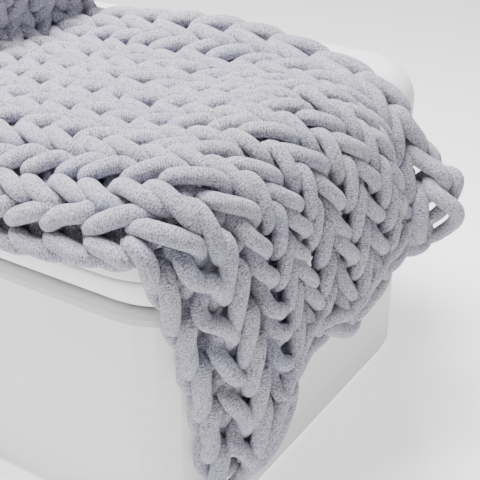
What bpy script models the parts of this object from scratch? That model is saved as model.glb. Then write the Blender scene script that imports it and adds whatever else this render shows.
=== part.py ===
"""Chunky knitted blanket lying skewed over the end of a small plain bed.

Metres, +Z up. The origin is the centre of the bed's underside, on the floor. +X points to the end that the
blanket hangs over, and +Y away from the side where its front selvedge rolls over the mattress.
"""
import math

import bmesh
import bpy
import numpy as np

# bed
BED_LENGTH = 1.00
BED_WIDTH = 0.70
BASE_HEIGHT = 0.34
BASE_INSET = 0.012
BASE_BEVEL = 0.010
MATTRESS_HEIGHT = 0.16
MATTRESS_EDGE = 0.055
CORNER = 0.12
CORNER_SEGMENTS = 6
JOINT_GAP = 0.0005

# yarn and stitches: the yarn's diameter sets the size of the knit, its chain edges and their relief
YARN = 0.025
WALE = 2.4 * YARN
COLUMNS = 7
COURSE = 1.66 * YARN
CHAIN_LINK = 2.36 * YARN
CHAIN_ARM = 1.1 * YARN
CHAIN_HALF = 1.36 * YARN
CHAIN_THICKNESS = 1.92 * YARN
KNIT_THICKNESS = 1.6 * YARN
RIB_HEIGHT = 0.12 * YARN
STITCH_HEIGHT = 0.28 * YARN
LINK_HEIGHT = 0.2 * YARN
LEG_SLANT = 0.9

# blanket, from the centre of one selvedge chain to the other, and along the stitch columns as it lies
WIDTH = COLUMNS * WALE + 2 * CHAIN_ARM
HEM = 0.43
CAST_ON = -0.98
SKEW = math.radians(13)

# the stitches that hang are longer by this share, from a little behind the bend on; so the knit's hem is at
# KNIT_END, counted along the columns as they were knitted
LONGER = 0.21
LONGER_FROM = -0.06
LONGER_RUN = 0.16
KNIT_END = (HEM + LONGER * (LONGER_FROM + LONGER_RUN / 2)) / (1 + LONGER)

LYING_GAP = 0.003
LIE = CHAIN_THICKNESS / 2 + LYING_GAP
BEND = MATTRESS_EDGE + LIE
TOP = BASE_HEIGHT + JOINT_GAP + MATTRESS_HEIGHT

# Sections across the blanket. u is the distance along a column from the bend over the bed's end, positive
# down the drape; front is where the front selvedge would lie, measured from the mattress's side bend; roll
# and curl are the width and the slope in degrees of the rolled front edge; swing, dip, wing and tip are the
# slopes in degrees of the drape's outward swing, its fold, the far wing and the far edge; lift moves it out.
SECTION_NAMES = ("u", "front", "roll", "curl", "swing", "dip", "wing", "tip", "lift")
SECTIONS = [
    (-1.04, -0.060, 0.060, 80, 0, 0, 0, 0, 0.000),
    (-0.92, -0.070, 0.070, 80, 0, 0, 0, 0, 0.000),
    (-0.80, -0.085, 0.085, 10, 0, 0, 0, 0, 0.000),
    (-0.45, -0.130, 0.130, 10, 0, 0, 0, 0, 0.000),
    (-0.36, -0.140, 0.140, 80, 0, 0, 4, 0, 0.000),
    (-0.22, -0.135, 0.135, 90, 0, 0, 22, 5, 0.000),
    (-0.08, -0.112, 0.112, 87, 0, 0, 30, 10, 0.000),
    (0.03, -0.088, 0.093, 68, 3, -8, 13, 6, 0.002),
    (0.13, -0.052, 0.080, 57, 8, -38, 2, 0, 0.0052),
    (0.25, -0.020, 0.078, 52, 12, -48, 18, 12, 0.012),
    (0.36, -0.004, 0.078, 50, 15, -50, 64, 52, 0.019),
    (0.52, 0.006, 0.078, 48, 16, -42, 74, 66, 0.023),
]
# share of the width at which each slope applies, in the order of SLOPES
SLOPE_PLACES = (0.0, 0.18, 0.28, 0.50, 0.60, 0.69, 0.78, 0.88, 0.93, 1.0, 1.1)
SLOPES = (None, None, "swing", "swing", None, "dip", None, "wing", "wing", "tip", "tip")
# distances from the front selvedge at which front and lift are measured
FRONT_PLACE = 0.20
LIFT_PLACE = 0.10
# the drape's stretch under its own weight: v is the distance from the front selvedge
STRETCH_NAMES = ("v", "reach")
STRETCH = [(-0.06, 1.00), (0.03, 1.00), (0.11, 0.90), (0.31, 0.86), (0.39, 0.95), (0.48, 1.02), (0.55, 1.02)]
# the far selvedge is drawn in: u and how far, for the cloth beyond DRAWN_FROM; and the hem hangs uneven: v and
# how much shorter it ends, for the cloth below SHORTER_FROM
DRAWN_IN_NAMES = ("u", "pull")
DRAWN_IN = [(0.00, 0.0), (0.09, 0.016), (0.16, 0.040), (0.27, 0.048), (0.36, 0.034), (0.43, 0.022), (0.49, 0.020)]
DRAWN_FROM = 0.22
SHORTER_NAMES = ("v", "less")
SHORTER = [(0.050, 0.0), (0.085, 0.020), (0.12, 0.044), (0.155, 0.030), (0.20, -0.012), (0.24, -0.002),
           (0.29, 0.004), (0.35, 0.018), (0.42, 0.044), (0.50, 0.036)]
SHORTER_FROM = 0.12
# the loose wave on the bed: v and how far behind the bend it starts, then each arc, its radius and its turn
WAVE_START_NAMES = ("v", "start")
WAVE_START = [(-0.06, 0.425), (0.20, 0.425), (0.40, 0.405), (0.60, 0.390)]
WAVE = [("rise", 0.045, -130), ("crest", 0.055, 220), ("foot", 0.045, -90)]

# the measuring grid and the solid's own grid
GRID_ROWS = 181
GRID_COLUMNS = 97
GRID_MARGIN = 0.06
COLUMNS_PER_WALE = 4
ROWS_PER_COURSE = 3
UNDER_STEP = 2

COLORS = {
    "blanket": (0.62, 0.61, 0.65),
    "mattress": (0.86, 0.86, 0.85),
    "bed_base": (0.80, 0.79, 0.77),
}


def smooth_curve(x, knots, values):
    """A curve through a few values that never overshoots them."""
    knots = np.asarray(knots, float)
    values = np.asarray(values, float)
    slope = np.diff(values) / np.diff(knots)
    before, after = slope[:-1], slope[1:]
    total = np.where(before + after == 0, 1, before + after)
    inner = np.where(before * after > 0, 2 * before * after / total, 0)
    tangent = np.concatenate([slope[:1], inner, slope[-1:]])
    x = np.clip(x, knots[0], knots[-1])
    i = np.clip(np.searchsorted(knots, x, side="right") - 1, 0, len(knots) - 2)
    span = knots[i + 1] - knots[i]
    t = (x - knots[i]) / span
    start = (2 * t**3 - 3 * t**2 + 1) * values[i] + (t**3 - 2 * t**2 + t) * span * tangent[i]
    end = (3 * t**2 - 2 * t**3) * values[i + 1] + (t**3 - t**2) * span * tangent[i + 1]
    return start + end


def table_curve(x, table, names, column):
    rows = np.array(table, float)
    return smooth_curve(x, rows[:, 0], rows[:, names.index(column)])


def wave_drop():
    """Straight fall between the wave's crest and its foot that brings the cloth back to the bed."""
    height = 0
    heading = math.pi
    for arc, radius, turn in WAVE:
        new = heading + math.radians(turn)
        height -= math.copysign(radius, turn) * (math.cos(new) - math.cos(heading))
        heading = new
    return height


def end_run(distance, start):
    """Point and outward normal on the bed's lengthwise run, with the distance counted from the end's bend."""
    bend = np.clip(distance / BEND, 0, math.pi / 2)
    back = np.clip(-distance, 0, None)
    flat = np.minimum(back, start)
    left = back - flat
    x = -MATTRESS_EDGE + BEND * np.sin(bend) - flat
    z = -MATTRESS_EDGE + BEND * np.cos(bend) - np.clip(distance - BEND * math.pi / 2, 0, None)
    heading = np.full_like(distance, math.pi)
    for arc, radius, turn in WAVE:
        if arc == "foot":
            step = np.clip(left, 0, wave_drop())
            x = x + np.cos(heading) * step
            z = z + np.sin(heading) * step
            left = left - step
        bow = math.copysign(radius, turn)
        step = np.clip(left, 0, radius * math.radians(abs(turn)))
        new = heading + step / bow
        x = x + bow * (np.sin(new) - np.sin(heading))
        z = z - bow * (np.cos(new) - np.cos(heading))
        heading = new
        left = left - step
    x = x + np.cos(heading) * left
    z = z + np.sin(heading) * left
    on_bed = back > 0
    normal_x = np.where(on_bed, np.sin(heading), np.sin(bend))
    normal_z = np.where(on_bed, -np.cos(heading), np.cos(bend))
    return x, z, normal_x, normal_z


def running_sum(values, step):
    """Integral along the rows, from the first column."""
    area = np.cumsum((values[:, 1:] + values[:, :-1]) / 2 * step, axis=1)
    return np.concatenate([np.zeros((len(values), 1)), area], axis=1)


def cloth_grid():
    """The blanket's middle surface on an even grid of u and v: the two axes, points and unit normals."""
    us = np.linspace(CAST_ON - GRID_MARGIN, HEM + GRID_MARGIN, GRID_ROWS)
    vs = np.linspace(-GRID_MARGIN, WIDTH + GRID_MARGIN, GRID_COLUMNS)
    section = {name: table_curve(us, SECTIONS, SECTION_NAMES, name) for name in SECTION_NAMES[1:]}
    slope = np.zeros((GRID_ROWS, GRID_COLUMNS))
    for i in range(GRID_ROWS):
        named = [0 if name is None else section[name][i] for name in SLOPES]
        rolled = np.clip(np.degrees((section["roll"][i] - vs) / BEND), 0, section["curl"][i])
        slope[i] = np.radians(smooth_curve(vs / WIDTH, SLOPE_PLACES, named) + rolled)
    step_v = vs[1] - vs[0]
    step_u = us[1] - us[0]
    across = running_sum(np.cos(slope), step_v)
    out = running_sum(np.sin(slope), step_v)
    at_front = int(np.argmin(np.abs(vs - FRONT_PLACE)))
    at_lift = int(np.argmin(np.abs(vs - LIFT_PLACE)))
    across = across - across[:, at_front:at_front + 1] + (section["front"] + FRONT_PLACE)[:, None]
    out = out - out[:, at_lift:at_lift + 1] + section["lift"][:, None]

    along = us[:, None] * math.cos(SKEW) - vs[None, :] * math.sin(SKEW)
    reach = table_curve(vs, STRETCH, STRETCH_NAMES, "reach")
    slant = np.gradient(out, step_u, axis=0) ** 2 + np.gradient(across, step_u, axis=0) ** 2
    for i in range(int(np.argmin(np.abs(us))) + 1, GRID_ROWS):
        done = along[i - 1]
        bending = (done > 0) & (done < BEND * math.pi / 2)
        spread = np.where(bending, np.clip(1 + out[i - 1] / BEND, 0.5, 3), 1)
        along[i] = done + reach * np.sqrt(1 - np.clip(slant[i], 0, 0.8)) * step_u / spread

    start = table_curve(vs, WAVE_START, WAVE_START_NAMES, "start")[None, :]
    x, z, normal_x, normal_z = end_run(along, start)
    points = np.stack([x + normal_x * out, MATTRESS_EDGE + across, z + normal_z * out], axis=-1)
    points = points + np.array([BED_LENGTH / 2, -BED_WIDTH / 2, TOP])
    normals = np.cross(np.gradient(points, axis=0), np.gradient(points, axis=1))
    normals = normals / np.linalg.norm(normals, axis=-1, keepdims=True)
    return us, vs, points, normals


def on_grid(us, vs, values, u, v):
    """Values of the grid at (u, v), linear between its points."""
    i = np.clip((u - us[0]) / (us[1] - us[0]), 0, len(us) - 1.001)
    j = np.clip((v - vs[0]) / (vs[1] - vs[0]), 0, len(vs) - 1.001)
    i0 = i.astype(int)
    j0 = j.astype(int)
    fi = (i - i0)[..., None]
    fj = (j - j0)[..., None]
    near = values[i0, j0] * (1 - fj) + values[i0, j0 + 1] * fj
    far = values[i0 + 1, j0] * (1 - fj) + values[i0 + 1, j0 + 1] * fj
    return near * (1 - fi) + far * fi


def ease(share):
    share = np.clip(share, 0, 1)
    return share**2 * (3 - 2 * share)


def given_way(s, v):
    """Where a place of the knit comes to lie: longer where it hangs, drawn in on the far side, uneven below."""
    share = (s - LONGER_FROM) / LONGER_RUN
    bending = np.clip(share, 0, 1)
    u = s + LONGER * LONGER_RUN * (bending**3 - bending**4 / 2 + np.clip(share - 1, 0, None))
    pull = table_curve(u, DRAWN_IN, DRAWN_IN_NAMES, "pull") * ease((v - DRAWN_FROM) / (WIDTH - DRAWN_FROM))
    less = table_curve(v, SHORTER, SHORTER_NAMES, "less") * ease((u - SHORTER_FROM) / (HEM - SHORTER_FROM))
    return u - less, v - pull


def edge_steps():
    """Distances from the blanket's rim to the points that round off its chain edge."""
    angles = np.radians([0, 32, 62, 90])
    return CHAIN_HALF * (1 - np.cos(angles))


def rim_half(distance):
    """Half the thickness at a distance from the rim: a round chain edge that runs into the knit."""
    across = np.clip(1 - distance / CHAIN_HALF, 0, 1)
    chain = CHAIN_THICKNESS / 2 * np.sqrt(1 - across**2)
    inward = np.clip((distance - CHAIN_HALF) / CHAIN_HALF, 0, 1)
    return chain + (KNIT_THICKNESS - CHAIN_THICKNESS) / 2 * inward


def inside_share(s, v):
    """0 on the chain edges, 1 on the knit inside them, and the distances from the two pairs of rims."""
    side = np.minimum(v + CHAIN_HALF, WIDTH + CHAIN_HALF - v)
    end = np.minimum(s - CAST_ON + CHAIN_HALF, KNIT_END + CHAIN_HALF - s)
    share = np.clip((np.minimum(side, end) - CHAIN_HALF) / (CHAIN_HALF / 2), 0, 1)
    return share, side, end


def half_thickness(s, v):
    share, side, end = inside_share(s, v)
    full = CHAIN_THICKNESS / 2
    knit = KNIT_THICKNESS / 2
    ribs = RIB_HEIGHT * np.sin(math.pi * (v - CHAIN_ARM) / WALE) ** 2
    return rim_half(side) * rim_half(end) / full * (1 + share * (full / knit - 1)) + ribs * share


def stitch_height(s, v):
    """Relief of the upper side: two slanting legs to each stitch, and beads along the chain edges."""
    share, side, end = inside_share(s, v)
    place = (v - CHAIN_ARM) / WALE
    from_middle = 2 * np.abs(place - np.floor(place) - 0.5)
    leg = 1 - np.where(from_middle < 0.5, 2, 4) * (from_middle - 0.5) ** 2
    bead = np.cos(2 * math.pi * ((s - KNIT_END) / COURSE - LEG_SLANT * from_middle))
    link = np.cos(2 * math.pi * (s - KNIT_END) / CHAIN_LINK) * np.clip(np.minimum(side, end) / CHAIN_HALF, 0, 1)
    return share * leg * STITCH_HEIGHT / 2 * (1 + bead) + (1 - share) * LINK_HEIGHT / 2 * (1 + link) * (end > 0)


def blanket_rows():
    """Places along the columns: the rounded ends, and three to each course of stitches between them."""
    ends = edge_steps()
    count = round((KNIT_END - CAST_ON) / COURSE) * ROWS_PER_COURSE
    courses = np.linspace(CAST_ON, KNIT_END, count + 1)
    return np.concatenate([CAST_ON - CHAIN_HALF + ends[:-1], courses, (KNIT_END + CHAIN_HALF - ends[:-1])[::-1]])


def blanket_columns():
    """Places across the blanket: the two chain edges and four to each column of stitches."""
    ends = edge_steps()
    knit = np.linspace(CHAIN_ARM, WIDTH - CHAIN_ARM, COLUMNS * COLUMNS_PER_WALE + 1)
    return np.concatenate([-CHAIN_HALF + ends, knit, (WIDTH + CHAIN_HALF - ends)[::-1]])


def new_material(name, color, roughness):
    material = bpy.data.materials.new(name)
    material.use_nodes = True
    shader = material.node_tree.nodes["Principled BSDF"]
    shader.inputs["Base Color"].default_value = (*color, 1)
    shader.inputs["Roughness"].default_value = roughness
    material.diffuse_color = (*color, 1)
    return material


def place(obj, collection, roughness):
    for old in list(obj.users_collection):
        old.objects.unlink(obj)
    collection.objects.link(obj)
    obj.data.materials.clear()
    obj.data.materials.append(new_material(obj.name, COLORS[obj.name], roughness))


def under_rows(count):
    """Rows that the smoother underside keeps: all the rounded ends and every second one between."""
    ends = len(edge_steps())
    between = range(ends + UNDER_STEP - 1, count - ends, UNDER_STEP)
    return [*range(ends), *between, *range(count - ends, count)]


def make_blanket(collection):
    """A loft of the rolled and folded sections: stitched upper side, plainer underside, one shared rim."""
    us, vs, points, normals = cloth_grid()
    s, v = np.meshgrid(blanket_rows(), blanket_columns(), indexing="ij")
    lying_u, lying_v = given_way(s, v)
    middle = on_grid(us, vs, points, lying_u, lying_v)
    outward = on_grid(us, vs, normals, lying_u, lying_v)
    outward = outward / np.linalg.norm(outward, axis=-1, keepdims=True)
    half = half_thickness(s, v)
    rim = np.zeros_like(half)
    rim[1:-1, 1:-1] = 1
    upper = middle + outward * (half + rim * stitch_height(s, v))[..., None]
    under = middle - outward * half[..., None]

    count_u, count_v = s.shape
    rows = under_rows(count_u)
    upper_index = np.arange(count_u * count_v).reshape(count_u, count_v)
    under_index = upper_index.copy()
    inner = rows[1:-1]
    under_index[inner, 1:-1] = count_u * count_v + np.arange(len(inner) * (count_v - 2)).reshape(len(inner), -1)
    vertices = np.concatenate([upper.reshape(-1, 3), under[inner, 1:-1].reshape(-1, 3)])
    faces = []
    for i in range(count_u - 1):
        for j in range(count_v - 1):
            corners = ((i, j), (i + 1, j), (i + 1, j + 1), (i, j + 1))
            faces.append([upper_index[corner] for corner in corners])
    for low, high in zip(rows[:-1], rows[1:]):
        for j in range(count_v - 1):
            near = list(range(low, high + 1)) if j == 0 else [low, high]
            far = list(range(low, high + 1)) if j == count_v - 2 else [low, high]
            faces.append([under_index[i, j + 1] for i in far] + [under_index[i, j] for i in reversed(near)])
    mesh = bpy.data.meshes.new("blanket")
    mesh.from_pydata(vertices.tolist(), [], [[int(k) for k in face] for face in faces])
    mesh.validate()
    mesh.shade_smooth()
    blanket = bpy.data.objects.new("blanket", mesh)
    place(blanket, collection, 0.95)
    return blanket


def make_block(name, size, bottom, corner, rim, rim_segments, collection, roughness):
    """A plain block standing at a height, with round upright corners and round rims."""
    bpy.ops.mesh.primitive_cube_add(size=1, location=(0, 0, bottom + size[2] / 2), scale=size)
    bpy.ops.object.transform_apply(location=True, rotation=False, scale=True)
    block = bpy.context.object
    block.name = name
    block.data.name = name
    shape = bmesh.new()
    shape.from_mesh(block.data)
    upright = [e for e in shape.edges if abs(e.verts[0].co.z - e.verts[1].co.z) > size[2] / 2]
    bmesh.ops.bevel(shape, geom=upright, offset=corner, segments=CORNER_SEGMENTS, profile=0.5, affect="EDGES")
    shape.to_mesh(block.data)
    shape.free()
    rounding = block.modifiers.new("round rims", "BEVEL")
    rounding.width = rim
    rounding.segments = rim_segments
    rounding.limit_method = "ANGLE"
    rounding.angle_limit = math.radians(60)
    place(block, collection, roughness)
    return block


def make_bed(collection):
    base_size = (BED_LENGTH - 2 * BASE_INSET, BED_WIDTH - 2 * BASE_INSET, BASE_HEIGHT)
    make_block("bed_base", base_size, 0, CORNER - BASE_INSET, BASE_BEVEL, 2, collection, 0.6)
    mattress_size = (BED_LENGTH, BED_WIDTH, MATTRESS_HEIGHT)
    bottom = BASE_HEIGHT + JOINT_GAP
    make_block("mattress", mattress_size, bottom, CORNER, MATTRESS_EDGE, 5, collection, 0.9)


def main():
    for old in list(bpy.data.objects):
        bpy.data.objects.remove(old)
    collection = bpy.data.collections.new("knitted blanket on bed")
    bpy.context.scene.collection.children.link(collection)
    make_bed(collection)
    make_blanket(collection)


main()
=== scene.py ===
# %% [markdown]
# # A chunky knitted blanket over the end of a bed
#
# This file dresses a imported model of a small bed with a hand-knitted blanket lying skewed over its end.
# The imported model gives the true places, and everything here is built around it, in metres, with Z up. The
# blanket is the subject: a plain knit in a velvety yarn as thick as a thumb, with a fat chain along every
# edge.
#
# The mattress's box is read before anything is added.

# %% Load the imported bed and blanket
import math
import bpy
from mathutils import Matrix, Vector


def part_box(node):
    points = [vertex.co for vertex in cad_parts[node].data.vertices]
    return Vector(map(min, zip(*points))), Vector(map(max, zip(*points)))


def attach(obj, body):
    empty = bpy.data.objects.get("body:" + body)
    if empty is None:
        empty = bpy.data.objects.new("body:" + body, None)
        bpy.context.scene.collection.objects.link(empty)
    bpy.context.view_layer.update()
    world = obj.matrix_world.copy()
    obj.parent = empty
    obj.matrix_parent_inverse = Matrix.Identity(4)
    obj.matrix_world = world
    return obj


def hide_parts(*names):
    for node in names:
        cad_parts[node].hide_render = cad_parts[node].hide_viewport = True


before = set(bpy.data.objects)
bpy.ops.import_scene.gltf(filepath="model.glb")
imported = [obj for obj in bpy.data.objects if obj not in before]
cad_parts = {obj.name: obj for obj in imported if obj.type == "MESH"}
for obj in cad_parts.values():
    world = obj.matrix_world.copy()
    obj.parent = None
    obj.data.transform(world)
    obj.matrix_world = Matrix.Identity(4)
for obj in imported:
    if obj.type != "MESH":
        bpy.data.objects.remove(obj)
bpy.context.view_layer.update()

import bpy
import numpy as np

scene = bpy.context.scene

# %% [markdown]
# ## The camera
#
# The photo was taken from a little above the bed's near corner, with a moderately long lens, so the lines of
# stitches stay almost parallel. A camera could be aimed with a constraint, but a bearing, a downward tilt and
# a place are just as short and say what a photographer would do. They are measured from the bed's end, its
# front side and the top of its mattress.

# %% Camera at the photo's view
MATTRESS_LOW, MATTRESS_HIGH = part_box("mattress")
BED_END = MATTRESS_HIGH.x
BED_FRONT = MATTRESS_LOW.y
BED_TOP = MATTRESS_HIGH.z

CAMERA_PLACE = (BED_END + 0.566, BED_FRONT - 0.760, BED_TOP + 0.482)
CAMERA_BEARING = math.radians(33)
CAMERA_TILT = math.radians(28)
LENS_MM = 75
SENSOR_MM = 36

camera_data = bpy.data.cameras.new("camera")
camera_data.lens = LENS_MM
camera_data.sensor_width = SENSOR_MM
camera = bpy.data.objects.new("camera", camera_data)
camera.location = CAMERA_PLACE
camera.rotation_euler = (math.pi / 2 - CAMERA_TILT, 0, CAMERA_BEARING)
scene.collection.objects.link(camera)
scene.camera = camera
print("camera", [round(c, 3) for c in camera.location], "lens", LENS_MM, "mm")

# %% [markdown]
# ## What the knitter chose
#
# The yarn's thickness sets everything in a plain knit. One column of stitches is a little over two yarns
# wide, because each stitch shows two legs side by side, and one course is about one and two thirds of a yarn
# high. Seven columns make this blanket, with a slipped chain down both sides. `HEM` and `CAST_ON` are the two
# ends of the knit as it lies, counted from the bend over the end of the bed.

# %% Yarn, columns and courses
YARN = 0.025
WALE = 2.4 * YARN
COURSE = 1.66 * YARN
COLUMNS = 7
CHAIN_ARM = 1.1 * YARN
CHAIN_LINK = 2.36 * YARN
WIDTH = COLUMNS * WALE + 2 * CHAIN_ARM
HEM = 0.43
CAST_ON = -0.98
print("knit between edge chains", round(WIDTH, 3), "m by", round(HEM - CAST_ON, 3), "m as it lies")

# %% [markdown]
# ## How the blanket lies
#
# Cloth that is pushed about by hand has no simple shape, but it is still one sheet: it bends far more easily
# than it stretches. It could be dropped by a cloth simulation, which seldom lands in the folds one wants.
# Here the sheet is bent in two steps instead. One curve runs down the bed: flat, over the end and straight
# down, and the other way up into a loose wave. The other curve runs across the blanket: rolled over the front
# side of the mattress, and swung out into a fold and a wing where it hangs. A short table of slopes says how
# that second curve changes from one end of the blanket to the other.
#
# The helper below draws a smooth curve through a few values and never swings past them.

# %% A smooth curve through a few values
def smooth_curve(x, knots, values):
    knots = np.asarray(knots, float)
    values = np.asarray(values, float)
    slope = np.diff(values) / np.diff(knots)
    before, after = slope[:-1], slope[1:]
    total = np.where(before + after == 0, 1, before + after)
    inner = np.where(before * after > 0, 2 * before * after / total, 0)
    tangent = np.concatenate([slope[:1], inner, slope[-1:]])
    x = np.clip(x, knots[0], knots[-1])
    i = np.clip(np.searchsorted(knots, x, side="right") - 1, 0, len(knots) - 2)
    span = knots[i + 1] - knots[i]
    t = (x - knots[i]) / span
    start = (2 * t**3 - 3 * t**2 + 1) * values[i] + (t**3 - 2 * t**2 + t) * span * tangent[i]
    end = (3 * t**2 - 2 * t**3) * values[i + 1] + (t**3 - t**2) * span * tangent[i + 1]
    return start + end


def table_curve(x, table, names, column):
    rows = np.array(table, float)
    return smooth_curve(x, rows[:, 0], rows[:, names.index(column)])


print("half way up a step:", round(float(smooth_curve(0.5, (0, 1), (0, 1))), 2))

# %% [markdown]
# The curve along the bed is measured from the bend over its end. The knit is thick, so its middle passes half
# a chain's thickness above the mattress, and the bend is that much wider than the mattress's own round edge.
# Behind it the cloth lies flat, then rises, turns over a round crest and comes down to the bed again.

# %% The curve along the bed
MATTRESS_EDGE = 0.055
LYING_GAP = 0.003
HALF_CHAIN = 0.96 * YARN
LIE = HALF_CHAIN + LYING_GAP
BEND = MATTRESS_EDGE + LIE
WAVE = [("rise", 0.045, -130), ("crest", 0.055, 220), ("foot", 0.045, -90)]


def wave_drop():
    height = 0
    heading = math.pi
    for _, radius, turn in WAVE:
        new = heading + math.radians(turn)
        height -= math.copysign(radius, turn) * (math.cos(new) - math.cos(heading))
        heading = new
    return height


def end_run(distance, start):
    bend = np.clip(distance / BEND, 0, math.pi / 2)
    back = np.clip(-distance, 0, None)
    flat = np.minimum(back, start)
    left = back - flat
    x = -MATTRESS_EDGE + BEND * np.sin(bend) - flat
    z = -MATTRESS_EDGE + BEND * np.cos(bend) - np.clip(distance - BEND * math.pi / 2, 0, None)
    heading = np.full_like(distance, math.pi)
    for arc, radius, turn in WAVE:
        if arc == "foot":
            step = np.clip(left, 0, wave_drop())
            x = x + np.cos(heading) * step
            z = z + np.sin(heading) * step
            left = left - step
        bow = math.copysign(radius, turn)
        step = np.clip(left, 0, radius * math.radians(abs(turn)))
        new = heading + step / bow
        x = x + bow * (np.sin(new) - np.sin(heading))
        z = z - bow * (np.cos(new) - np.cos(heading))
        heading = new
        left = left - step
    x = x + np.cos(heading) * left
    z = z + np.sin(heading) * left
    normal_x = np.where(back > 0, np.sin(heading), np.sin(bend))
    normal_z = np.where(back > 0, -np.cos(heading), np.cos(bend))
    return x, z, normal_x, normal_z


print("the wave falls", round(wave_drop(), 3), "m straight")

# %% [markdown]
# Each row of the table is a section across the blanket. `u` is the distance along a column of stitches from
# the bend, positive down the drape. `front` is where the front edge would lie, `roll` and `curl` are the
# width and the slope of the rolled edge, `swing`, `dip`, `wing` and `tip` are slopes in degrees from the near
# side to the far edge, and `lift` moves the drape out from the bed.

# %% Sections across the blanket
SECTION_NAMES = ("u", "front", "roll", "curl", "swing", "dip", "wing", "tip", "lift")
SECTIONS = [
    (-1.04, -0.060, 0.060, 80, 0, 0, 0, 0, 0.000),
    (-0.92, -0.070, 0.070, 80, 0, 0, 0, 0, 0.000),
    (-0.80, -0.085, 0.085, 10, 0, 0, 0, 0, 0.000),
    (-0.45, -0.130, 0.130, 10, 0, 0, 0, 0, 0.000),
    (-0.36, -0.140, 0.140, 80, 0, 0, 4, 0, 0.000),
    (-0.22, -0.135, 0.135, 90, 0, 0, 22, 5, 0.000),
    (-0.08, -0.112, 0.112, 87, 0, 0, 30, 10, 0.000),
    (0.03, -0.088, 0.093, 68, 3, -8, 13, 6, 0.002),
    (0.13, -0.052, 0.080, 57, 8, -38, 2, 0, 0.0052),
    (0.25, -0.020, 0.078, 52, 12, -48, 18, 12, 0.012),
    (0.36, -0.004, 0.078, 50, 15, -50, 64, 52, 0.019),
    (0.52, 0.006, 0.078, 48, 16, -42, 74, 66, 0.023),
]
SLOPE_PLACES = (0.0, 0.18, 0.28, 0.50, 0.60, 0.69, 0.78, 0.88, 0.93, 1.0, 1.1)
SLOPES = (None, None, "swing", "swing", None, "dip", None, "wing", "wing", "tip", "tip")
FRONT_PLACE = 0.20
LIFT_PLACE = 0.10
STRETCH_NAMES = ("v", "reach")
STRETCH = [(-0.06, 1.00), (0.03, 1.00), (0.11, 0.90), (0.31, 0.86), (0.39, 0.95), (0.48, 1.02), (0.55, 1.02)]
WAVE_START_NAMES = ("v", "start")
WAVE_START = [(-0.06, 0.425), (0.20, 0.425), (0.40, 0.405), (0.60, 0.390)]
SKEW = math.radians(13)
print(len(SECTIONS), "sections across the blanket")

# %% [markdown]
# The two curves are put together on an even grid, and the grid is read by straight interpolation, so that
# tens of thousands of yarn points can be placed at once. Slopes become widths and heights by adding up their
# cosines and sines, just as a surveyor walks a hillside.

# %% The blanket's middle surface
GRID_ROWS = 181
GRID_COLUMNS = 97
GRID_MARGIN = 0.06
LAST_CELL = 1.001
MOST_SLANT = 0.8
SPREAD_LIMITS = (0.5, 3)
U_LINE = np.linspace(CAST_ON - GRID_MARGIN, HEM + GRID_MARGIN, GRID_ROWS)
V_LINE = np.linspace(-GRID_MARGIN, WIDTH + GRID_MARGIN, GRID_COLUMNS)


def running_sum(values, step):
    area = np.cumsum((values[:, 1:] + values[:, :-1]) / 2 * step, axis=1)
    return np.concatenate([np.zeros((len(values), 1)), area], axis=1)


def cross_sections():
    section = {name: table_curve(U_LINE, SECTIONS, SECTION_NAMES, name) for name in SECTION_NAMES[1:]}
    slope = np.zeros((GRID_ROWS, GRID_COLUMNS))
    for i in range(GRID_ROWS):
        named = [0 if name is None else section[name][i] for name in SLOPES]
        rolled = np.clip(np.degrees((section["roll"][i] - V_LINE) / BEND), 0, section["curl"][i])
        slope[i] = np.radians(smooth_curve(V_LINE / WIDTH, SLOPE_PLACES, named) + rolled)
    step = V_LINE[1] - V_LINE[0]
    across = running_sum(np.cos(slope), step)
    out = running_sum(np.sin(slope), step)
    at_front = int(np.argmin(np.abs(V_LINE - FRONT_PLACE)))
    at_lift = int(np.argmin(np.abs(V_LINE - LIFT_PLACE)))
    across = across - across[:, at_front:at_front + 1] + (section["front"] + FRONT_PLACE)[:, None]
    out = out - out[:, at_lift:at_lift + 1] + section["lift"][:, None]
    return across, out


def cloth_grid():
    across, out = cross_sections()
    step = U_LINE[1] - U_LINE[0]
    along = U_LINE[:, None] * math.cos(SKEW) - V_LINE[None, :] * math.sin(SKEW)
    reach = table_curve(V_LINE, STRETCH, STRETCH_NAMES, "reach")
    slant = np.gradient(out, step, axis=0) ** 2 + np.gradient(across, step, axis=0) ** 2
    for i in range(int(np.argmin(np.abs(U_LINE))) + 1, GRID_ROWS):
        done = along[i - 1]
        bending = (done > 0) & (done < BEND * math.pi / 2)
        spread = np.where(bending, np.clip(1 + out[i - 1] / BEND, *SPREAD_LIMITS), 1)
        along[i] = done + reach * np.sqrt(1 - np.clip(slant[i], 0, MOST_SLANT)) * step / spread
    start = table_curve(V_LINE, WAVE_START, WAVE_START_NAMES, "start")[None, :]
    x, z, normal_x, normal_z = end_run(along, start)
    points = np.stack([x + normal_x * out, MATTRESS_EDGE + across, z + normal_z * out], axis=-1)
    points = points + np.array([BED_END, BED_FRONT, BED_TOP])
    normals = np.cross(np.gradient(points, axis=0), np.gradient(points, axis=1))
    return points, normals / np.linalg.norm(normals, axis=-1, keepdims=True)


POINTS, NORMALS = cloth_grid()


def on_cloth(values, u, v):
    i = np.clip((u - U_LINE[0]) / (U_LINE[1] - U_LINE[0]), 0, GRID_ROWS - LAST_CELL)
    j = np.clip((v - V_LINE[0]) / (V_LINE[1] - V_LINE[0]), 0, GRID_COLUMNS - LAST_CELL)
    i0 = i.astype(int)
    j0 = j.astype(int)
    fi = (i - i0)[..., None]
    fj = (j - j0)[..., None]
    near = values[i0, j0] * (1 - fj) + values[i0, j0 + 1] * fj
    far = values[i0 + 1, j0] * (1 - fj) + values[i0 + 1, j0 + 1] * fj
    return near * (1 - fi) + far * fi


print("the cloth reaches from", POINTS[..., 2].min().round(3), "to", POINTS[..., 2].max().round(3), "m high")

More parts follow.
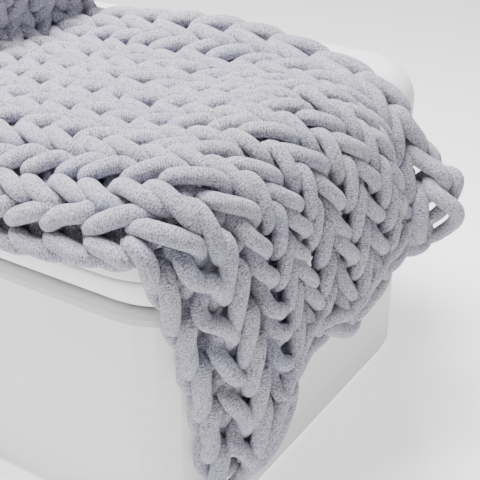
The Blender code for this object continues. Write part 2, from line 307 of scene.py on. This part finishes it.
# %% [markdown]
# A knit gives way where it is pulled. The part that hangs carries its own weight, so its stitches are a
# fifth longer than those on the bed. Past the bend the far side is drawn in by up to two fingers, and the hem
# hangs uneven: some columns end higher than others. Two more short tables say how far, and a place of the
# knit is moved by all three before it is laid on the surface. Places on the knit, `s`, are counted as it was
# knitted, so its hem comes at `KNIT_END` there.

# %% Stretched stitches, drawn-in side and uneven hem
LONGER = 0.21
LONGER_FROM = -0.06
LONGER_RUN = 0.16
DRAWN_IN_NAMES = ("u", "pull")
DRAWN_IN = [(0.00, 0.0), (0.09, 0.016), (0.16, 0.040), (0.27, 0.048), (0.36, 0.034), (0.43, 0.022),
            (0.49, 0.020)]
DRAWN_FROM = 0.22
SHORTER_NAMES = ("v", "less")
SHORTER = [(0.050, 0.0), (0.085, 0.020), (0.12, 0.044), (0.155, 0.030), (0.20, -0.012), (0.24, -0.002),
           (0.29, 0.004), (0.35, 0.018), (0.42, 0.044), (0.50, 0.036)]
SHORTER_FROM = 0.12


def ease(share):
    share = np.clip(share, 0, 1)
    return share**2 * (3 - 2 * share)


def hanging(s):
    """0 on the bed and 1 on the drape, and the same summed up along the column."""
    share = (s - LONGER_FROM) / LONGER_RUN
    bending = np.clip(share, 0, 1)
    return ease(share), LONGER_RUN * (bending**3 - bending**4 / 2 + np.clip(share - 1, 0, None))


def given_way(s, v):
    u = s + LONGER * hanging(s)[1]
    pull = table_curve(u, DRAWN_IN, DRAWN_IN_NAMES, "pull") * ease((v - DRAWN_FROM) / (WIDTH - DRAWN_FROM))
    less = table_curve(v, SHORTER, SHORTER_NAMES, "less") * ease((u - SHORTER_FROM) / (HEM - SHORTER_FROM))
    return u - less, v - pull


def on_blanket(s, v, height):
    u, v = given_way(s, v)
    normal = on_cloth(NORMALS, u, v)
    normal = normal / np.linalg.norm(normal, axis=-1, keepdims=True)
    return on_cloth(POINTS, u, v) + normal * height[..., None], normal


KNIT_END = (HEM + LONGER * (LONGER_FROM + LONGER_RUN / 2)) / (1 + LONGER)
COURSES = round((KNIT_END - CAST_ON) / COURSE)
print(COURSES, "courses knitted to", round(KNIT_END, 3), "m, which hang to",
      round(float(given_way(KNIT_END, 0)[0]), 3), "m")

# %% [markdown]
# ## Yarn as a tube
#
# A strand could be a curve object with a bevel, but a curve decides by itself how its section turns. Here the
# section follows the cloth's own upward direction, so a strand can be pressed a little flatter where it
# lies on another, and its own map of length and angle is known for the pile. Both ends are first given a half
# round of smaller and smaller sections, and the last small section is closed with a strip of four-sided
# faces.

# %% Rounded ends for strands
SIDES = 18
ANGLES = np.arange(SIDES) * 2 * math.pi / SIDES
CAP_TURNS = np.radians([24, 46, 64, 78, 87])


def rounded_ends(path, up, radius):
    """Adds the half round of sections before the first and after the last point of a strand."""
    first = path[0] - path[1]
    last = path[-1] - path[-2]
    first = first / np.linalg.norm(first) * radius[0]
    last = last / np.linalg.norm(last) * radius[-1]
    out = np.sin(CAP_TURNS)[:, None]
    path = np.concatenate([path[0] + first * out[::-1], path, path[-1] + last * out])
    up = np.concatenate([up[:1].repeat(len(out), axis=0), up, up[-1:].repeat(len(out), axis=0)])
    small = np.cos(CAP_TURNS)
    radius = np.concatenate([radius[0] * small[::-1], radius, radius[-1] * small])
    return path, up, radius


def closing_strip(first):
    """Four-sided faces that close one section of a strand."""
    k = np.arange(SIDES // 2 - 1)
    return np.stack([k, k + 1, SIDES - 2 - k, SIDES - 1 - k], axis=-1) + first


print("a section has", SIDES, "sides and a rounded end", len(CAP_TURNS), "sections")

# %% Tubes from paths
def tube(path, up, radius, flat):
    """Points, faces and map of one strand along a path with an upward direction at each point."""
    path, up, radius = rounded_ends(path, up, radius)
    tangent = np.gradient(path, axis=0)
    tangent = tangent / np.linalg.norm(tangent, axis=1, keepdims=True)
    side = np.cross(tangent, up)
    side = side / np.linalg.norm(side, axis=1, keepdims=True)
    top = np.cross(side, tangent)
    ring = side[:, None, :] * np.cos(ANGLES)[None, :, None]
    ring = ring + top[:, None, :] * (np.sin(ANGLES) * flat)[None, :, None]
    points = path[:, None, :] + ring * radius[:, None, None]
    count = len(path)
    i, j = np.meshgrid(np.arange(count - 1), np.arange(SIDES), indexing="ij")
    next_j = (j + 1) % SIDES
    corners = [(i, j, j), (i + 1, j, j), (i + 1, next_j, j + 1), (i, next_j, j + 1)]
    length = np.concatenate([[0], np.cumsum(np.linalg.norm(np.diff(path, axis=0), axis=1))])
    faces = np.stack([row * SIDES + column for row, column, angle in corners], axis=-1).reshape(-1, 4)
    yarn_map = [np.stack([length[row], angle / SIDES], axis=-1) for row, column, angle in corners]
    yarn_map = np.stack(yarn_map, axis=-2).reshape(-1, 4, 2)
    for cap in (closing_strip(0), closing_strip((count - 1) * SIDES)[:, ::-1]):
        faces = np.concatenate([faces, cap])
        yarn_map = np.concatenate([yarn_map, np.full((len(cap), 4, 2), yarn_map[0, 0])])
    return points.reshape(-1, 3), faces, yarn_map


def held_volume(points, faces):
    """Litres inside closed faces; less than nothing where the faces point inwards."""
    a, b, c, d = (points[faces[:, k]] for k in range(4))
    return 1000 * float((np.cross(a, b) * c + np.cross(a, c) * d).sum() / 6)


straight = np.linspace((0, 0, 0), (0.1, 0, 0), 3)
sample_points, sample_faces, _ = tube(straight, np.tile((0.0, 0.0, 1.0), (3, 1)), np.full(3, YARN / 2), 1.0)
print("ten centimetres of yarn hold", round(held_volume(sample_points, sample_faces), 3), "litres")

# %% One object from many strands
def strand_object(name, strands):
    """One mesh object from many tubes, shaded smooth, with its length and angle map."""
    offset = 0
    points, faces, maps = [], [], []
    for strand_points, strand_faces, strand_map in strands:
        points.append(strand_points)
        faces.append(strand_faces + offset)
        maps.append(strand_map)
        offset += len(strand_points)
    points = np.concatenate(points)
    faces = np.concatenate(faces)
    mesh = bpy.data.meshes.new(name)
    mesh.vertices.add(len(points))
    mesh.vertices.foreach_set("co", points.astype(np.float32).ravel())
    mesh.loops.add(faces.size)
    mesh.loops.foreach_set("vertex_index", faces.astype(np.int32).ravel())
    mesh.polygons.add(len(faces))
    mesh.polygons.foreach_set("loop_start", np.arange(0, faces.size, 4, dtype=np.int32))
    yarn_map = mesh.uv_layers.new(name="yarn")
    mesh.update(calc_edges=True)
    yarn_map.data.foreach_set("uv", np.concatenate(maps).astype(np.float32).ravel())
    mesh.validate()
    mesh.shade_smooth()
    obj = bpy.data.objects.new(name, mesh)
    scene.collection.objects.link(obj)
    print(name, len(faces) * 2, "triangles,", round(held_volume(points, faces), 2), "litres of yarn")
    return obj


# %% [markdown]
# ## One stitch
#
# In plain knitting every stitch is a loop pulled through the loop before it. Seen from the right side its
# two legs come up from below through the old loop and lean apart, which gives the V, and its head and feet
# hide behind the neighbours. The loop is one smooth wave: it swings sideways twice as often as it goes up and
# down, which draws the neck in and lets the head out, and its legs come forward while its head and feet go
# back. `t` runs once round for each stitch, with the head at 0.

# %% The path of one stitch
LOOP_HEIGHT = 1.6 * YARN
NECK = 1.58
FORWARD = 0.46 * YARN
PLUNGE = 1.35
POINTS_PER_STITCH = 46


def stitch_path(t):
    side = WALE / (2 * math.pi) * (t + NECK * np.sin(2 * t))
    along = LOOP_HEIGHT * np.cos(t)
    height = -FORWARD * np.tanh(PLUNGE * np.cos(2 * t)) / math.tanh(PLUNGE)
    return side, along, height


sides, alongs, heights = stitch_path(np.linspace(-math.pi, math.pi, 9))
print("loop", round(float(np.ptp(sides)), 3), "wide,", round(float(np.ptp(alongs)), 3), "high and",
      round(float(np.ptp(heights)), 3), "deep")

# %% [markdown]
# No hand pulls every loop alike. Each stitch gets its own small error in place, height and thickness, and the
# error runs smoothly from one stitch into the next because it is one yarn. The random numbers are seeded, so
# the blanket is the same each time. At its two ends a course runs on under the edge chain, a little towards
# the next course, because there the yarn turns back. On the drape the knit hangs askew, so one leg of each V
# slides down past the other, and yarn that is pulled is a little thinner. The column beside the front chain
# keeps its full thickness there, is drawn in towards the chain and stands up a little, because the chain
# carries most of the weight. No strand sinks deeper than `DEEPEST`, so that the knit lies on the mattress and
# never in it.

# %% Small errors of the hand
rng = np.random.default_rng(41)
JITTER = {"side": 0.0028, "along": 0.0036, "height": 0.0018, "radius": 0.04}
COURSE_JITTER = 0.0012


def wander(count, size):
    """A smooth random line through one new value for each whole number up to count."""
    knots = np.arange(0, count + 3)
    values = rng.normal(0, size, len(knots))
    return lambda x: smooth_curve(np.clip(x, 0, count + 2), knots, values)


print("a stitch strays", JITTER["side"] * 1000, "mm sideways")

# %% One course of stitches
TURN_BACK = (0.8, 0.5, -0.1)
TURN_STEPS = 16
PRESSED = 0.445
FLATTENED = 0.96
LEAN = 0.48 * YARN
THINNED = 0.09
TUCKED = 0.30 * YARN
RAISED = 0.12 * YARN
TUCKED_COLUMNS = 1.4
DEEPEST = -0.53 * YARN


def turned_end(side, along, height):
    """Offsets that carry a course's last point under the edge chain."""
    out, drift, sink = (YARN * amount for amount in TURN_BACK)
    share = np.arange(1, TURN_STEPS + 1) / TURN_STEPS
    return side + out * share, along + drift * share**2, height + sink * np.sin(math.pi / 2 * share)


def course(s):
    hang = float(hanging(s)[0])
    t = np.linspace(-math.pi, math.pi + (COLUMNS - 1) * 2 * math.pi, COLUMNS * POINTS_PER_STITCH + 1)
    turns = (t + math.pi) / (2 * math.pi)
    side, along, height = stitch_path(t)
    side = side + wander(2 * COLUMNS, JITTER["side"])(2 * turns)
    along = along + wander(2 * COLUMNS, JITTER["along"])(2 * turns) + rng.normal(0, COURSE_JITTER)
    along = along + LEAN * hang * np.sin(t)
    height = height + wander(2 * COLUMNS, JITTER["height"])(2 * turns)
    far = turned_end(side[-1], along[-1], height[-1])
    near = turned_end(-side[0], along[0], height[0])
    side = np.concatenate([-near[0][::-1], side, far[0]])
    along = np.concatenate([near[1][::-1], along, far[1]])
    height = np.concatenate([near[2][::-1], height, far[2]])
    turns = np.linspace(0, COLUMNS, len(side))
    tucked = hang * (1 - ease(turns / TUCKED_COLUMNS))
    radius = YARN * PRESSED * (1 - THINNED * (hang - tucked))
    radius = radius * (1 + wander(4 * COLUMNS, JITTER["radius"])(4 * turns))
    height = np.maximum(height + RAISED * tucked, DEEPEST)
    path, up = on_blanket(s + along, CHAIN_ARM + WALE / 2 + side - TUCKED * tucked, height)
    return tube(path, up, radius, FLATTENED)


pitch = (KNIT_END - CAST_ON) / COURSES
courses = [course(CAST_ON + pitch * (k + 0.5)) for k in range(COURSES)]
THIRD = math.ceil(COURSES / 3)
knit_pieces = []
for part_name, first in (("tail", 0), ("middle", THIRD), ("drape", 2 * THIRD)):
    knit_pieces.append(strand_object(f"blanket_knit_{part_name}", courses[first:first + THIRD]))

# %% [markdown]
# ## Chain edges
#
# Stitches at the two sides are slipped and not knitted, so each side ends in a row of long, fat loops, each
# drawn through the one before it like a chain. Here one loop is nearly one and a half courses long. What
# shows is a V: two straight legs that come up side by side out of the last loop, spread, and go down round
# the outside of the next one. From the outer leg's foot the yarn runs on along the very edge and then behind
# the chain to the next loop. A formula for this would be long, so one loop is drawn through a few places
# instead, and a smooth line is led through the places of all the loops in turn. Each place is given in yarn
# thicknesses: across towards the knit, along the chain, height above the middle surface, and the strand's own
# radius. The knit's two ends are closed by the same chain, drawn narrower.

# %% Places that each loop of the chain runs through
LINK_PLACES = [
    (1.05, -1.20, -0.46, 0.41),
    (0.42, -1.48, -0.12, 0.43),
    (0.38, -1.12, 0.36, 0.455),
    (0.58, -0.35, 0.47, 0.485),
    (0.84, 0.55, 0.46, 0.480),
    (1.00, 1.20, 0.26, 0.465),
    (0.90, 1.56, -0.14, 0.43),
    (0.48, 1.68, -0.42, 0.41),
    (-0.48, 1.68, -0.42, 0.41),
    (-0.90, 1.56, -0.14, 0.43),
    (-1.00, 1.20, 0.26, 0.465),
    (-0.84, 0.55, 0.46, 0.480),
    (-0.58, -0.35, 0.47, 0.485),
    (-0.38, -1.12, 0.36, 0.455),
    (-0.44, -1.48, -0.12, 0.43),
    (-1.00, -1.62, -0.42, 0.42),
    (-1.28, -0.98, -0.34, 0.43),
    (-1.26, -0.15, -0.34, 0.43),
    (-0.85, 0.48, -0.50, 0.41),
    (0.35, 0.74, -0.55, 0.40),
]
LINK_JITTER = 0.05
LINK_JITTER_SHARES = (1, 1, 0.5)
LINK_THICKNESS_JITTER = 0.02
POINTS_PER_LINK = 70
FINE_STEPS = 6


def led_curve(places, count):
    """Evenly spread points on a smooth line from the first to the last of a few places."""
    places = np.concatenate([2 * places[:1] - places[1:2], places, 2 * places[-1:] - places[-2:-1]])
    fine = np.linspace(1, len(places) - 2, FINE_STEPS * count + 1)
    i = np.minimum(fine.astype(int), len(places) - 3)
    f = (fine - i)[:, None]
    before, here, ahead, beyond = (places[i + k] for k in (-1, 0, 1, 2))
    bow = 2 * before - 5 * here + 4 * ahead - beyond
    curl = 3 * here - before - 3 * ahead + beyond
    line = (2 * here + (ahead - before) * f + bow * f**2 + curl * f**3) / 2
    length = np.concatenate([[0], np.cumsum(np.linalg.norm(np.diff(line[:, :3], axis=0), axis=1))])
    even = np.linspace(0, length[-1], count)
    return np.stack([np.interp(even, length, line[:, k]) for k in range(line.shape[1])], axis=-1)


def chain_line(count, pitch):
    """Across, along, height and radius of a whole chain in metres, with small errors in every loop."""
    places = []
    for k in range(count):
        loop = np.array(LINK_PLACES)
        loop[:, :3] += rng.normal(0, LINK_JITTER, (len(loop), 3)) * LINK_JITTER_SHARES
        loop[:, 3] *= rng.normal(1, LINK_THICKNESS_JITTER)
        loop[:, 1] += (k + 0.5) * pitch / YARN
        places.append(loop)
    return led_curve(np.concatenate(places), count * POINTS_PER_LINK) * YARN


one_loop = led_curve(np.array(LINK_PLACES), POINTS_PER_LINK) * YARN
loop_steps = np.linalg.norm(np.diff(one_loop[:, :3], axis=0), axis=1)
print("one loop of the chain takes", round(float(loop_steps.sum()), 2), "m")

# %% Chains along the sides and ends
END_CHAIN_WIDTH = 0.66
CHAIN_FLATTENED = 0.97


def side_chain(name, v_middle, inward):
    count = round((KNIT_END - CAST_ON) / CHAIN_LINK)
    across, along, height, radius = chain_line(count, (KNIT_END - CAST_ON) / count).T
    path, up = on_blanket(CAST_ON + along, v_middle + inward * across, height)
    return strand_object(name, [tube(path, up, radius, CHAIN_FLATTENED)])


def end_chain(s_middle, inward):
    across, along, height, radius = chain_line(COLUMNS, WALE).T
    path, up = on_blanket(s_middle + inward * across * END_CHAIN_WIDTH, CHAIN_ARM + along, height)
    return tube(path, up, radius, CHAIN_FLATTENED)


front_chain = side_chain("blanket_chain_front", 0.0, 1)
far_chain = side_chain("blanket_chain_far", WIDTH, -1)
end_chains = strand_object("blanket_chain_ends", [end_chain(KNIT_END, -1), end_chain(CAST_ON, 1)])
yarn_pieces = knit_pieces + [front_chain, far_chain, end_chains]
print(len(yarn_pieces), "pieces of yarn")

# %% [markdown]
# ## Chenille yarn
#
# Chenille is a core with short velvet pile standing all round it. From a step away the pile shows as a fine
# grain of lit tips and dark roots, a soft pale sheen at the edges, and shallow darker grooves round the
# strand where the core binds the pile. Displacing every tuft would need millions of faces, so noise in the
# bump stands for the pile, a band pattern on the yarn's own length map stands for the grooves, and the
# shader's sheen stands for the light that the tips catch. The colour is also painted with light and shade:
# the pile noise gives pale lit tips and dark shaded roots, a second noise puts dark specks of painted shade
# between the tufts, and the band pattern darkens the grooves with painted shade.

# %% Helpers for node materials
SHEEN_ROUGHNESS = 0.5


def new_material(name, roughness, specular, sheen, sheen_tint):
    material = bpy.data.materials.new(name)
    material.use_nodes = True
    shader = material.node_tree.nodes["Principled BSDF"]
    shader.inputs["Roughness"].default_value = roughness
    shader.inputs["Specular IOR Level"].default_value = specular
    shader.inputs["Sheen Weight"].default_value = sheen
    shader.inputs["Sheen Roughness"].default_value = SHEEN_ROUGHNESS
    shader.inputs["Sheen Tint"].default_value = (*sheen_tint, 1)
    return material, shader


def add_node(material, kind, settings):
    node = material.node_tree.nodes.new(kind)
    for name, value in settings.items():
        if name in node.inputs:
            node.inputs[name].default_value = value
        else:
            setattr(node, name, value)
    return node


def join(material, source, target):
    material.node_tree.links.new(source, target)


def noise(material, vector, scale, detail, rough):
    node = add_node(material, "ShaderNodeTexNoise", {"Scale": scale, "Detail": detail, "Roughness": rough})
    join(material, vector, node.inputs["Vector"])
    return node.outputs["Fac"]


def ramp(material, factor, stops):
    node = material.node_tree.nodes.new("ShaderNodeValToRGB")
    for k, (position, color) in enumerate(stops):
        stop = node.color_ramp.elements[k] if k < 2 else node.color_ramp.elements.new(position)
        stop.position = position
        stop.color = (*color, 1)
    join(material, factor, node.inputs["Fac"])
    return node.outputs["Color"]


def mixed(material, way, amount, first, second):
    node = add_node(material, "ShaderNodeMix", {"data_type": "RGBA", "blend_type": way})
    node.inputs["Factor"].default_value = amount
    join(material, first, node.inputs["A"])
    join(material, second, node.inputs["B"])
    return node.outputs["Result"]


def bump(material, height, strength, distance, under=None):
    node = add_node(material, "ShaderNodeBump", {"Strength": strength, "Distance": distance})
    join(material, height, node.inputs["Height"])
    if under is not None:
        join(material, under, node.inputs["Normal"])
    return node.outputs["Normal"]


print("helpers for noise, ramps, mixes and bumps are ready")

# %% Velvet yarn
PILE_SCALE = 520
TUFT_SCALE = 900
SPECK_SCALE = 330
CLOUD_SCALE = 14
GROOVE_SCALE = 106
# Shares of painted shade: how far the dark specks in the pile and the dark grooves darken the colour.
PILE_SHADE_SHARE = 0.9
GROOVE_SHADE_SHARE = 0.6

yarn, yarn_shader = new_material("chenille yarn", roughness=0.95, specular=0.1, sheen=0.5,
                                 sheen_tint=(0.95, 0.94, 1.0))
place = add_node(yarn, "ShaderNodeTexCoord", {}).outputs["Object"]
length_map = add_node(yarn, "ShaderNodeUVMap", {"uv_map": "yarn"}).outputs["UV"]

pile = noise(yarn, place, PILE_SCALE, detail=4, rough=0.7)
tufts = noise(yarn, place, TUFT_SCALE, detail=2, rough=0.6)
specks = noise(yarn, place, SPECK_SCALE, detail=3, rough=0.75)
clouds = noise(yarn, place, CLOUD_SCALE, detail=2, rough=0.5)

# Painted light and shade of the pile: pale lit tips and dark shaded roots between the tufts.
pile_lit_and_shaded = ramp(yarn, pile, [(0.37, (0.20, 0.195, 0.27)), (0.47, (0.48, 0.465, 0.535)),
                          (0.58, (0.84, 0.82, 0.885))])
# Painted shade: dark specks where the gaps in the pile lie in shadow.
pile_shade_specks = ramp(yarn, specks, [(0.36, (0.25, 0.25, 0.33)), (0.45, (1.0, 1.0, 1.0))])
drift = ramp(yarn, clouds, [(0.35, (0.93, 0.93, 1.0)), (0.65, (1.0, 0.985, 0.96))])
velvet = mixed(yarn, "MULTIPLY", PILE_SHADE_SHARE, pile_lit_and_shaded, pile_shade_specks)
grooves = add_node(yarn, "ShaderNodeTexWave", {"Scale": GROOVE_SCALE, "Distortion": 4.0, "Detail": 2.0,
                                               "Detail Scale": 2.4})
join(yarn, length_map, grooves.inputs["Vector"])
# Painted shade: the grooves round the strand are darkened in the colour, as shade falls in them.
groove_shade = ramp(yarn, grooves.outputs["Fac"], [(0.10, (0.50, 0.50, 0.57)), (0.50, (1.0, 1.0, 1.0))])
velvet = mixed(yarn, "MULTIPLY", GROOVE_SHADE_SHARE, velvet, groove_shade)
join(yarn, mixed(yarn, "MULTIPLY", 1.0, velvet, drift), yarn_shader.inputs["Base Color"])

relief = bump(yarn, grooves.outputs["Fac"], strength=0.60, distance=0.0012)
relief = bump(yarn, pile, strength=0.75, distance=0.0022, under=relief)
relief = bump(yarn, tufts, strength=0.5, distance=0.0010, under=relief)
join(yarn, relief, yarn_shader.inputs["Normal"])

for piece in yarn_pieces:
    piece.data.materials.append(yarn)
print("yarn material on", len(yarn_pieces), "pieces")

# %% [markdown]
# ## The mattress
#
# The blanket lies on a plain mattress with a white cotton cover, sewn from two quilted panels and a plain
# border between them. A cloth simulation would only swell it by a hair, and the blanket lies three
# millimetres above it, so its shape is drawn instead: outline after outline of a round-cornered rectangle,
# led over the top, down the border and in again below. The quilting and the two border seams are pressed
# inwards, where a needle pulls the cover down.

# %% Outlines of the mattress
MATTRESS_CORNER = 0.12
COVER_INSET = 0.001
CORNER_POINTS = 10
LONG_POINTS = 66
SHORT_POINTS = 40
cover_half = [(high - low) / 2 - COVER_INSET for low, high in zip(MATTRESS_LOW, MATTRESS_HIGH)]
cover_middle = np.array([(low + high) / 2 for low, high in zip(MATTRESS_LOW, MATTRESS_HIGH)])


def outline(inset):
    """Points round a round-cornered rectangle, always the same number, against the clock."""
    if inset <= MATTRESS_EDGE:
        corner = MATTRESS_CORNER - inset
    else:
        left = (cover_half[1] - inset) / (cover_half[1] - MATTRESS_EDGE)
        corner = (MATTRESS_CORNER - MATTRESS_EDGE) * left
    flat = np.array([cover_half[0] - inset - corner, cover_half[1] - inset - corner])
    signs = np.array([(1, 1), (-1, 1), (-1, -1), (1, -1)])
    points = []
    for k in range(4):
        angle = (k + np.arange(CORNER_POINTS + 1) / CORNER_POINTS) * math.pi / 2
        arc = signs[k] * flat + corner * np.stack([np.cos(angle), np.sin(angle)], axis=-1)
        following = signs[(k + 1) % 4] * flat + corner * np.array([math.cos(angle[-1]), math.sin(angle[-1])])
        steps = LONG_POINTS if k % 2 == 0 else SHORT_POINTS
        share = np.linspace(0, 1, steps, endpoint=False)[:, None]
        points += [arc[:-1], arc[-1] + (following - arc[-1]) * share]
    return np.concatenate(points)


print(len(outline(0)), "points round the mattress")

# %% The quilted cover
BORDER_SEAMS = (-0.026, 0.026)
SEAM_DEPTH = 0.0035
SEAM_WIDTH = 0.0030
QUILT_PITCH = 0.10
QUILT_DEPTH = 0.005
QUILT_ROUND = 0.4
QUILT_START = 0.035
QUILT_FADE = 0.04
RIM_ROWS = 12
TOP_ROWS = 44
BORDER_STEP = 0.0011
MERGE_DISTANCE = 0.00005


def cover_profile():
    """Inset and height of each outline, from the middle of the top to the middle of the underside."""
    half_height = cover_half[2]
    inset = np.linspace(cover_half[1], MATTRESS_EDGE, TOP_ROWS, endpoint=False)
    turn = np.linspace(0, math.pi / 2, RIM_ROWS)
    rim = np.stack([1 - np.sin(turn), np.cos(turn) - 1], axis=-1) * MATTRESS_EDGE + (0, half_height)
    top = np.stack([inset, np.full(TOP_ROWS, half_height)], axis=-1)
    upper = np.concatenate([top, rim])
    low, high = -rim[-1, 1], rim[-1, 1]
    heights = np.arange(high, low, -BORDER_STEP)[1:]
    dip = sum(SEAM_DEPTH * np.exp(-((heights - seam) / SEAM_WIDTH) ** 2) for seam in BORDER_SEAMS)
    return np.concatenate([upper, np.stack([dip, heights], axis=-1), upper[::-1] * (1, -1)])


def quilted(x, y, inset):
    stitched = np.sin(math.pi * (x + y) / QUILT_PITCH) * np.sin(math.pi * (x - y) / QUILT_PITCH)
    puff = np.abs(stitched) ** QUILT_ROUND
    return QUILT_DEPTH * (1 - puff) * ease((inset - QUILT_START) / QUILT_FADE)


def make_mattress():
    points = []
    profile = cover_profile()
    for inset, height in profile:
        ring = outline(inset)
        sunk = quilted(ring[:, 0], ring[:, 1], inset)
        points.append(np.column_stack([ring, height - math.copysign(1, height) * sunk]))
    count = len(points[0])
    points = np.concatenate(points) + cover_middle
    row, at = np.meshgrid(np.arange(len(profile) - 1), np.arange(count), indexing="ij")
    ahead = (at + 1) % count
    below = row + 1
    faces = [row * count + at, below * count + at, below * count + ahead, row * count + ahead]
    faces = np.stack(faces, axis=-1)
    mesh = bpy.data.meshes.new("mattress_cover")
    mesh.from_pydata(points.tolist(), [], faces.reshape(-1, 4).tolist())
    cover = bpy.data.objects.new("mattress_cover", mesh)
    scene.collection.objects.link(cover)
    bpy.ops.object.select_all(action="DESELECT")
    bpy.context.view_layer.objects.active = cover
    cover.select_set(True)
    bpy.ops.object.mode_set(mode="EDIT")
    bpy.ops.mesh.select_all(action="SELECT")
    bpy.ops.mesh.remove_doubles(threshold=MERGE_DISTANCE)
    bpy.ops.mesh.normals_make_consistent(inside=False)
    bpy.ops.object.mode_set(mode="OBJECT")
    mesh.shade_smooth()
    return cover


cover = make_mattress()
print("mattress cover", len(cover.data.polygons), "faces,", [round(c, 3) for c in cover.dimensions], "m")

# %% [markdown]
# The cover is a plain white cotton weave. Two families of fine bands, one aslant and one level, stand for the
# threads, and a slow noise keeps such a large pale surface from looking like plastic. The base under it is
# painted wood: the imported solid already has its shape, so it stays, and gets paint with the ghost of the
# grain showing through and a little unevenness in its gloss.

# %% Cotton and painted wood
THREAD_BANDS = {"Scale": 260, "Distortion": 0.6}
THREAD_BUMP = {"strength": 0.12, "distance": 0.0004}
CREASE_SCALE = 9
GRAIN_STRETCH = (2.0, 2.0, 60.0)
GRAIN_SCALE = 1.6
GLOSS_SCALE = 14
UNTINTED = (1.0, 1.0, 1.0)

cotton, cotton_shader = new_material("white cotton", roughness=0.9, specular=0.15, sheen=0.25,
                                     sheen_tint=UNTINTED)
cotton_place = add_node(cotton, "ShaderNodeTexCoord", {}).outputs["Object"]
warp = add_node(cotton, "ShaderNodeTexWave", {**THREAD_BANDS, "bands_direction": "DIAGONAL"})
weft = add_node(cotton, "ShaderNodeTexWave", {**THREAD_BANDS, "bands_direction": "Z"})
join(cotton, cotton_place, warp.inputs["Vector"])
join(cotton, cotton_place, weft.inputs["Vector"])
cotton_cloud = noise(cotton, cotton_place, CREASE_SCALE, detail=3, rough=0.55)
cotton_color = ramp(cotton, cotton_cloud, [(0.3, (0.83, 0.83, 0.83)), (0.7, (0.90, 0.90, 0.895))])
join(cotton, cotton_color, cotton_shader.inputs["Base Color"])
threads = bump(cotton, warp.outputs["Fac"], **THREAD_BUMP)
threads = bump(cotton, weft.outputs["Fac"], **THREAD_BUMP, under=threads)
creases = bump(cotton, cotton_cloud, strength=0.15, distance=0.004, under=threads)
join(cotton, creases, cotton_shader.inputs["Normal"])
cover.data.materials.append(cotton)

paint, paint_shader = new_material("painted wood", roughness=0.5, specular=0.4, sheen=0.0,
                                   sheen_tint=UNTINTED)
paint_place = add_node(paint, "ShaderNodeTexCoord", {}).outputs["Object"]
stretched = add_node(paint, "ShaderNodeMapping", {"Scale": GRAIN_STRETCH})
join(paint, paint_place, stretched.inputs["Vector"])
grain_lines = noise(paint, stretched.outputs["Vector"], GRAIN_SCALE, detail=5, rough=0.6)
paint_cloud = noise(paint, paint_place, GLOSS_SCALE, detail=2, rough=0.5)
paint_color = ramp(paint, grain_lines, [(0.3, (0.84, 0.84, 0.83)), (0.7, (0.89, 0.89, 0.885))])
join(paint, paint_color, paint_shader.inputs["Base Color"])
paint_gloss = ramp(paint, paint_cloud, [(0.3, (0.42, 0.42, 0.42)), (0.7, (0.58, 0.58, 0.58))])
join(paint, paint_gloss, paint_shader.inputs["Roughness"])
join(paint, bump(paint, grain_lines, strength=0.10, distance=0.001), paint_shader.inputs["Normal"])

base_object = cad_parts["bed_base"]
for slot in base_object.material_slots:
    slot.material = paint
print("cotton on the cover and paint on", base_object.name)

# %% [markdown]
# ## Floor and light
#
# The photo's light is bright and soft and comes mostly from above: the tops of the strands are pale, the
# hanging end is a step darker, and the gaps between strands are the only dark places. One small lamp would
# throw hard shadows, and a white world alone would fill every gap. So a dim white world and a glowing floor
# fill the shadows, and two wide soft lamps do the rest.

# %% Floor, world and lamps
FLOOR_SIZE = 30
FLOOR_GLOW = 1.0
FLOOR_CLOUD_SCALE = 1.2
WORLD_STRENGTH = 0.27

bpy.ops.object.select_all(action="DESELECT")
bpy.ops.mesh.primitive_plane_add(size=FLOOR_SIZE, location=(0, 0, 0))
floor = bpy.context.object
floor.name = "floor"
floor_paint, floor_shader = new_material("pale floor", roughness=0.9, specular=0.2, sheen=0.0,
                                         sheen_tint=UNTINTED)
floor_place = add_node(floor_paint, "ShaderNodeTexCoord", {}).outputs["Object"]
floor_cloud = noise(floor_paint, floor_place, FLOOR_CLOUD_SCALE, detail=2, rough=0.5)
floor_color = ramp(floor_paint, floor_cloud, [(0.2, (0.95, 0.95, 0.95)), (0.8, (0.97, 0.97, 0.97))])
join(floor_paint, floor_color, floor_shader.inputs["Base Color"])
floor_shader.inputs["Emission Color"].default_value = (1.0, 1.0, 1.0, 1)
floor_shader.inputs["Emission Strength"].default_value = FLOOR_GLOW
floor.data.materials.append(floor_paint)

world = bpy.data.worlds.new("white room")
world.use_nodes = True
world.node_tree.nodes["Background"].inputs["Color"].default_value = (0.95, 0.96, 1.0, 1)
world.node_tree.nodes["Background"].inputs["Strength"].default_value = WORLD_STRENGTH
scene.world = world


def soft_lamp(name, place, target, size, power):
    lamp_data = bpy.data.lights.new(name, "AREA")
    lamp_data.shape = "SQUARE"
    lamp_data.size = size
    lamp_data.energy = power
    lamp = bpy.data.objects.new(name, lamp_data)
    lamp.location = place
    aim = np.array(target) - np.array(place)
    yaw = math.atan2(aim[1], aim[0]) - math.pi / 2
    lean = math.acos(-aim[2] / np.linalg.norm(aim))
    lamp.rotation_euler = (lean, 0, yaw)
    scene.collection.objects.link(lamp)


soft_lamp("softbox above", (-0.12, -0.3, 2.5), (0.15, -0.15, 0.5), size=1.1, power=192)
soft_lamp("softbox window", (-1.6, -1.3, 1.7), (0.3, -0.2, 0.4), size=1.0, power=8)
print("lit by the white room and two softboxes")

# %% [markdown]
# ## Bodies and replaced solids
#
# Every new piece rides on the model's only body and takes the place of the imported solid it stands for. A knit
# this thick is springy and full of air.

# %% Bodies and replaced solids
for piece in yarn_pieces:
    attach(piece, "root")
    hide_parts("blanket")

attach(cover, "root")
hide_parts("mattress")
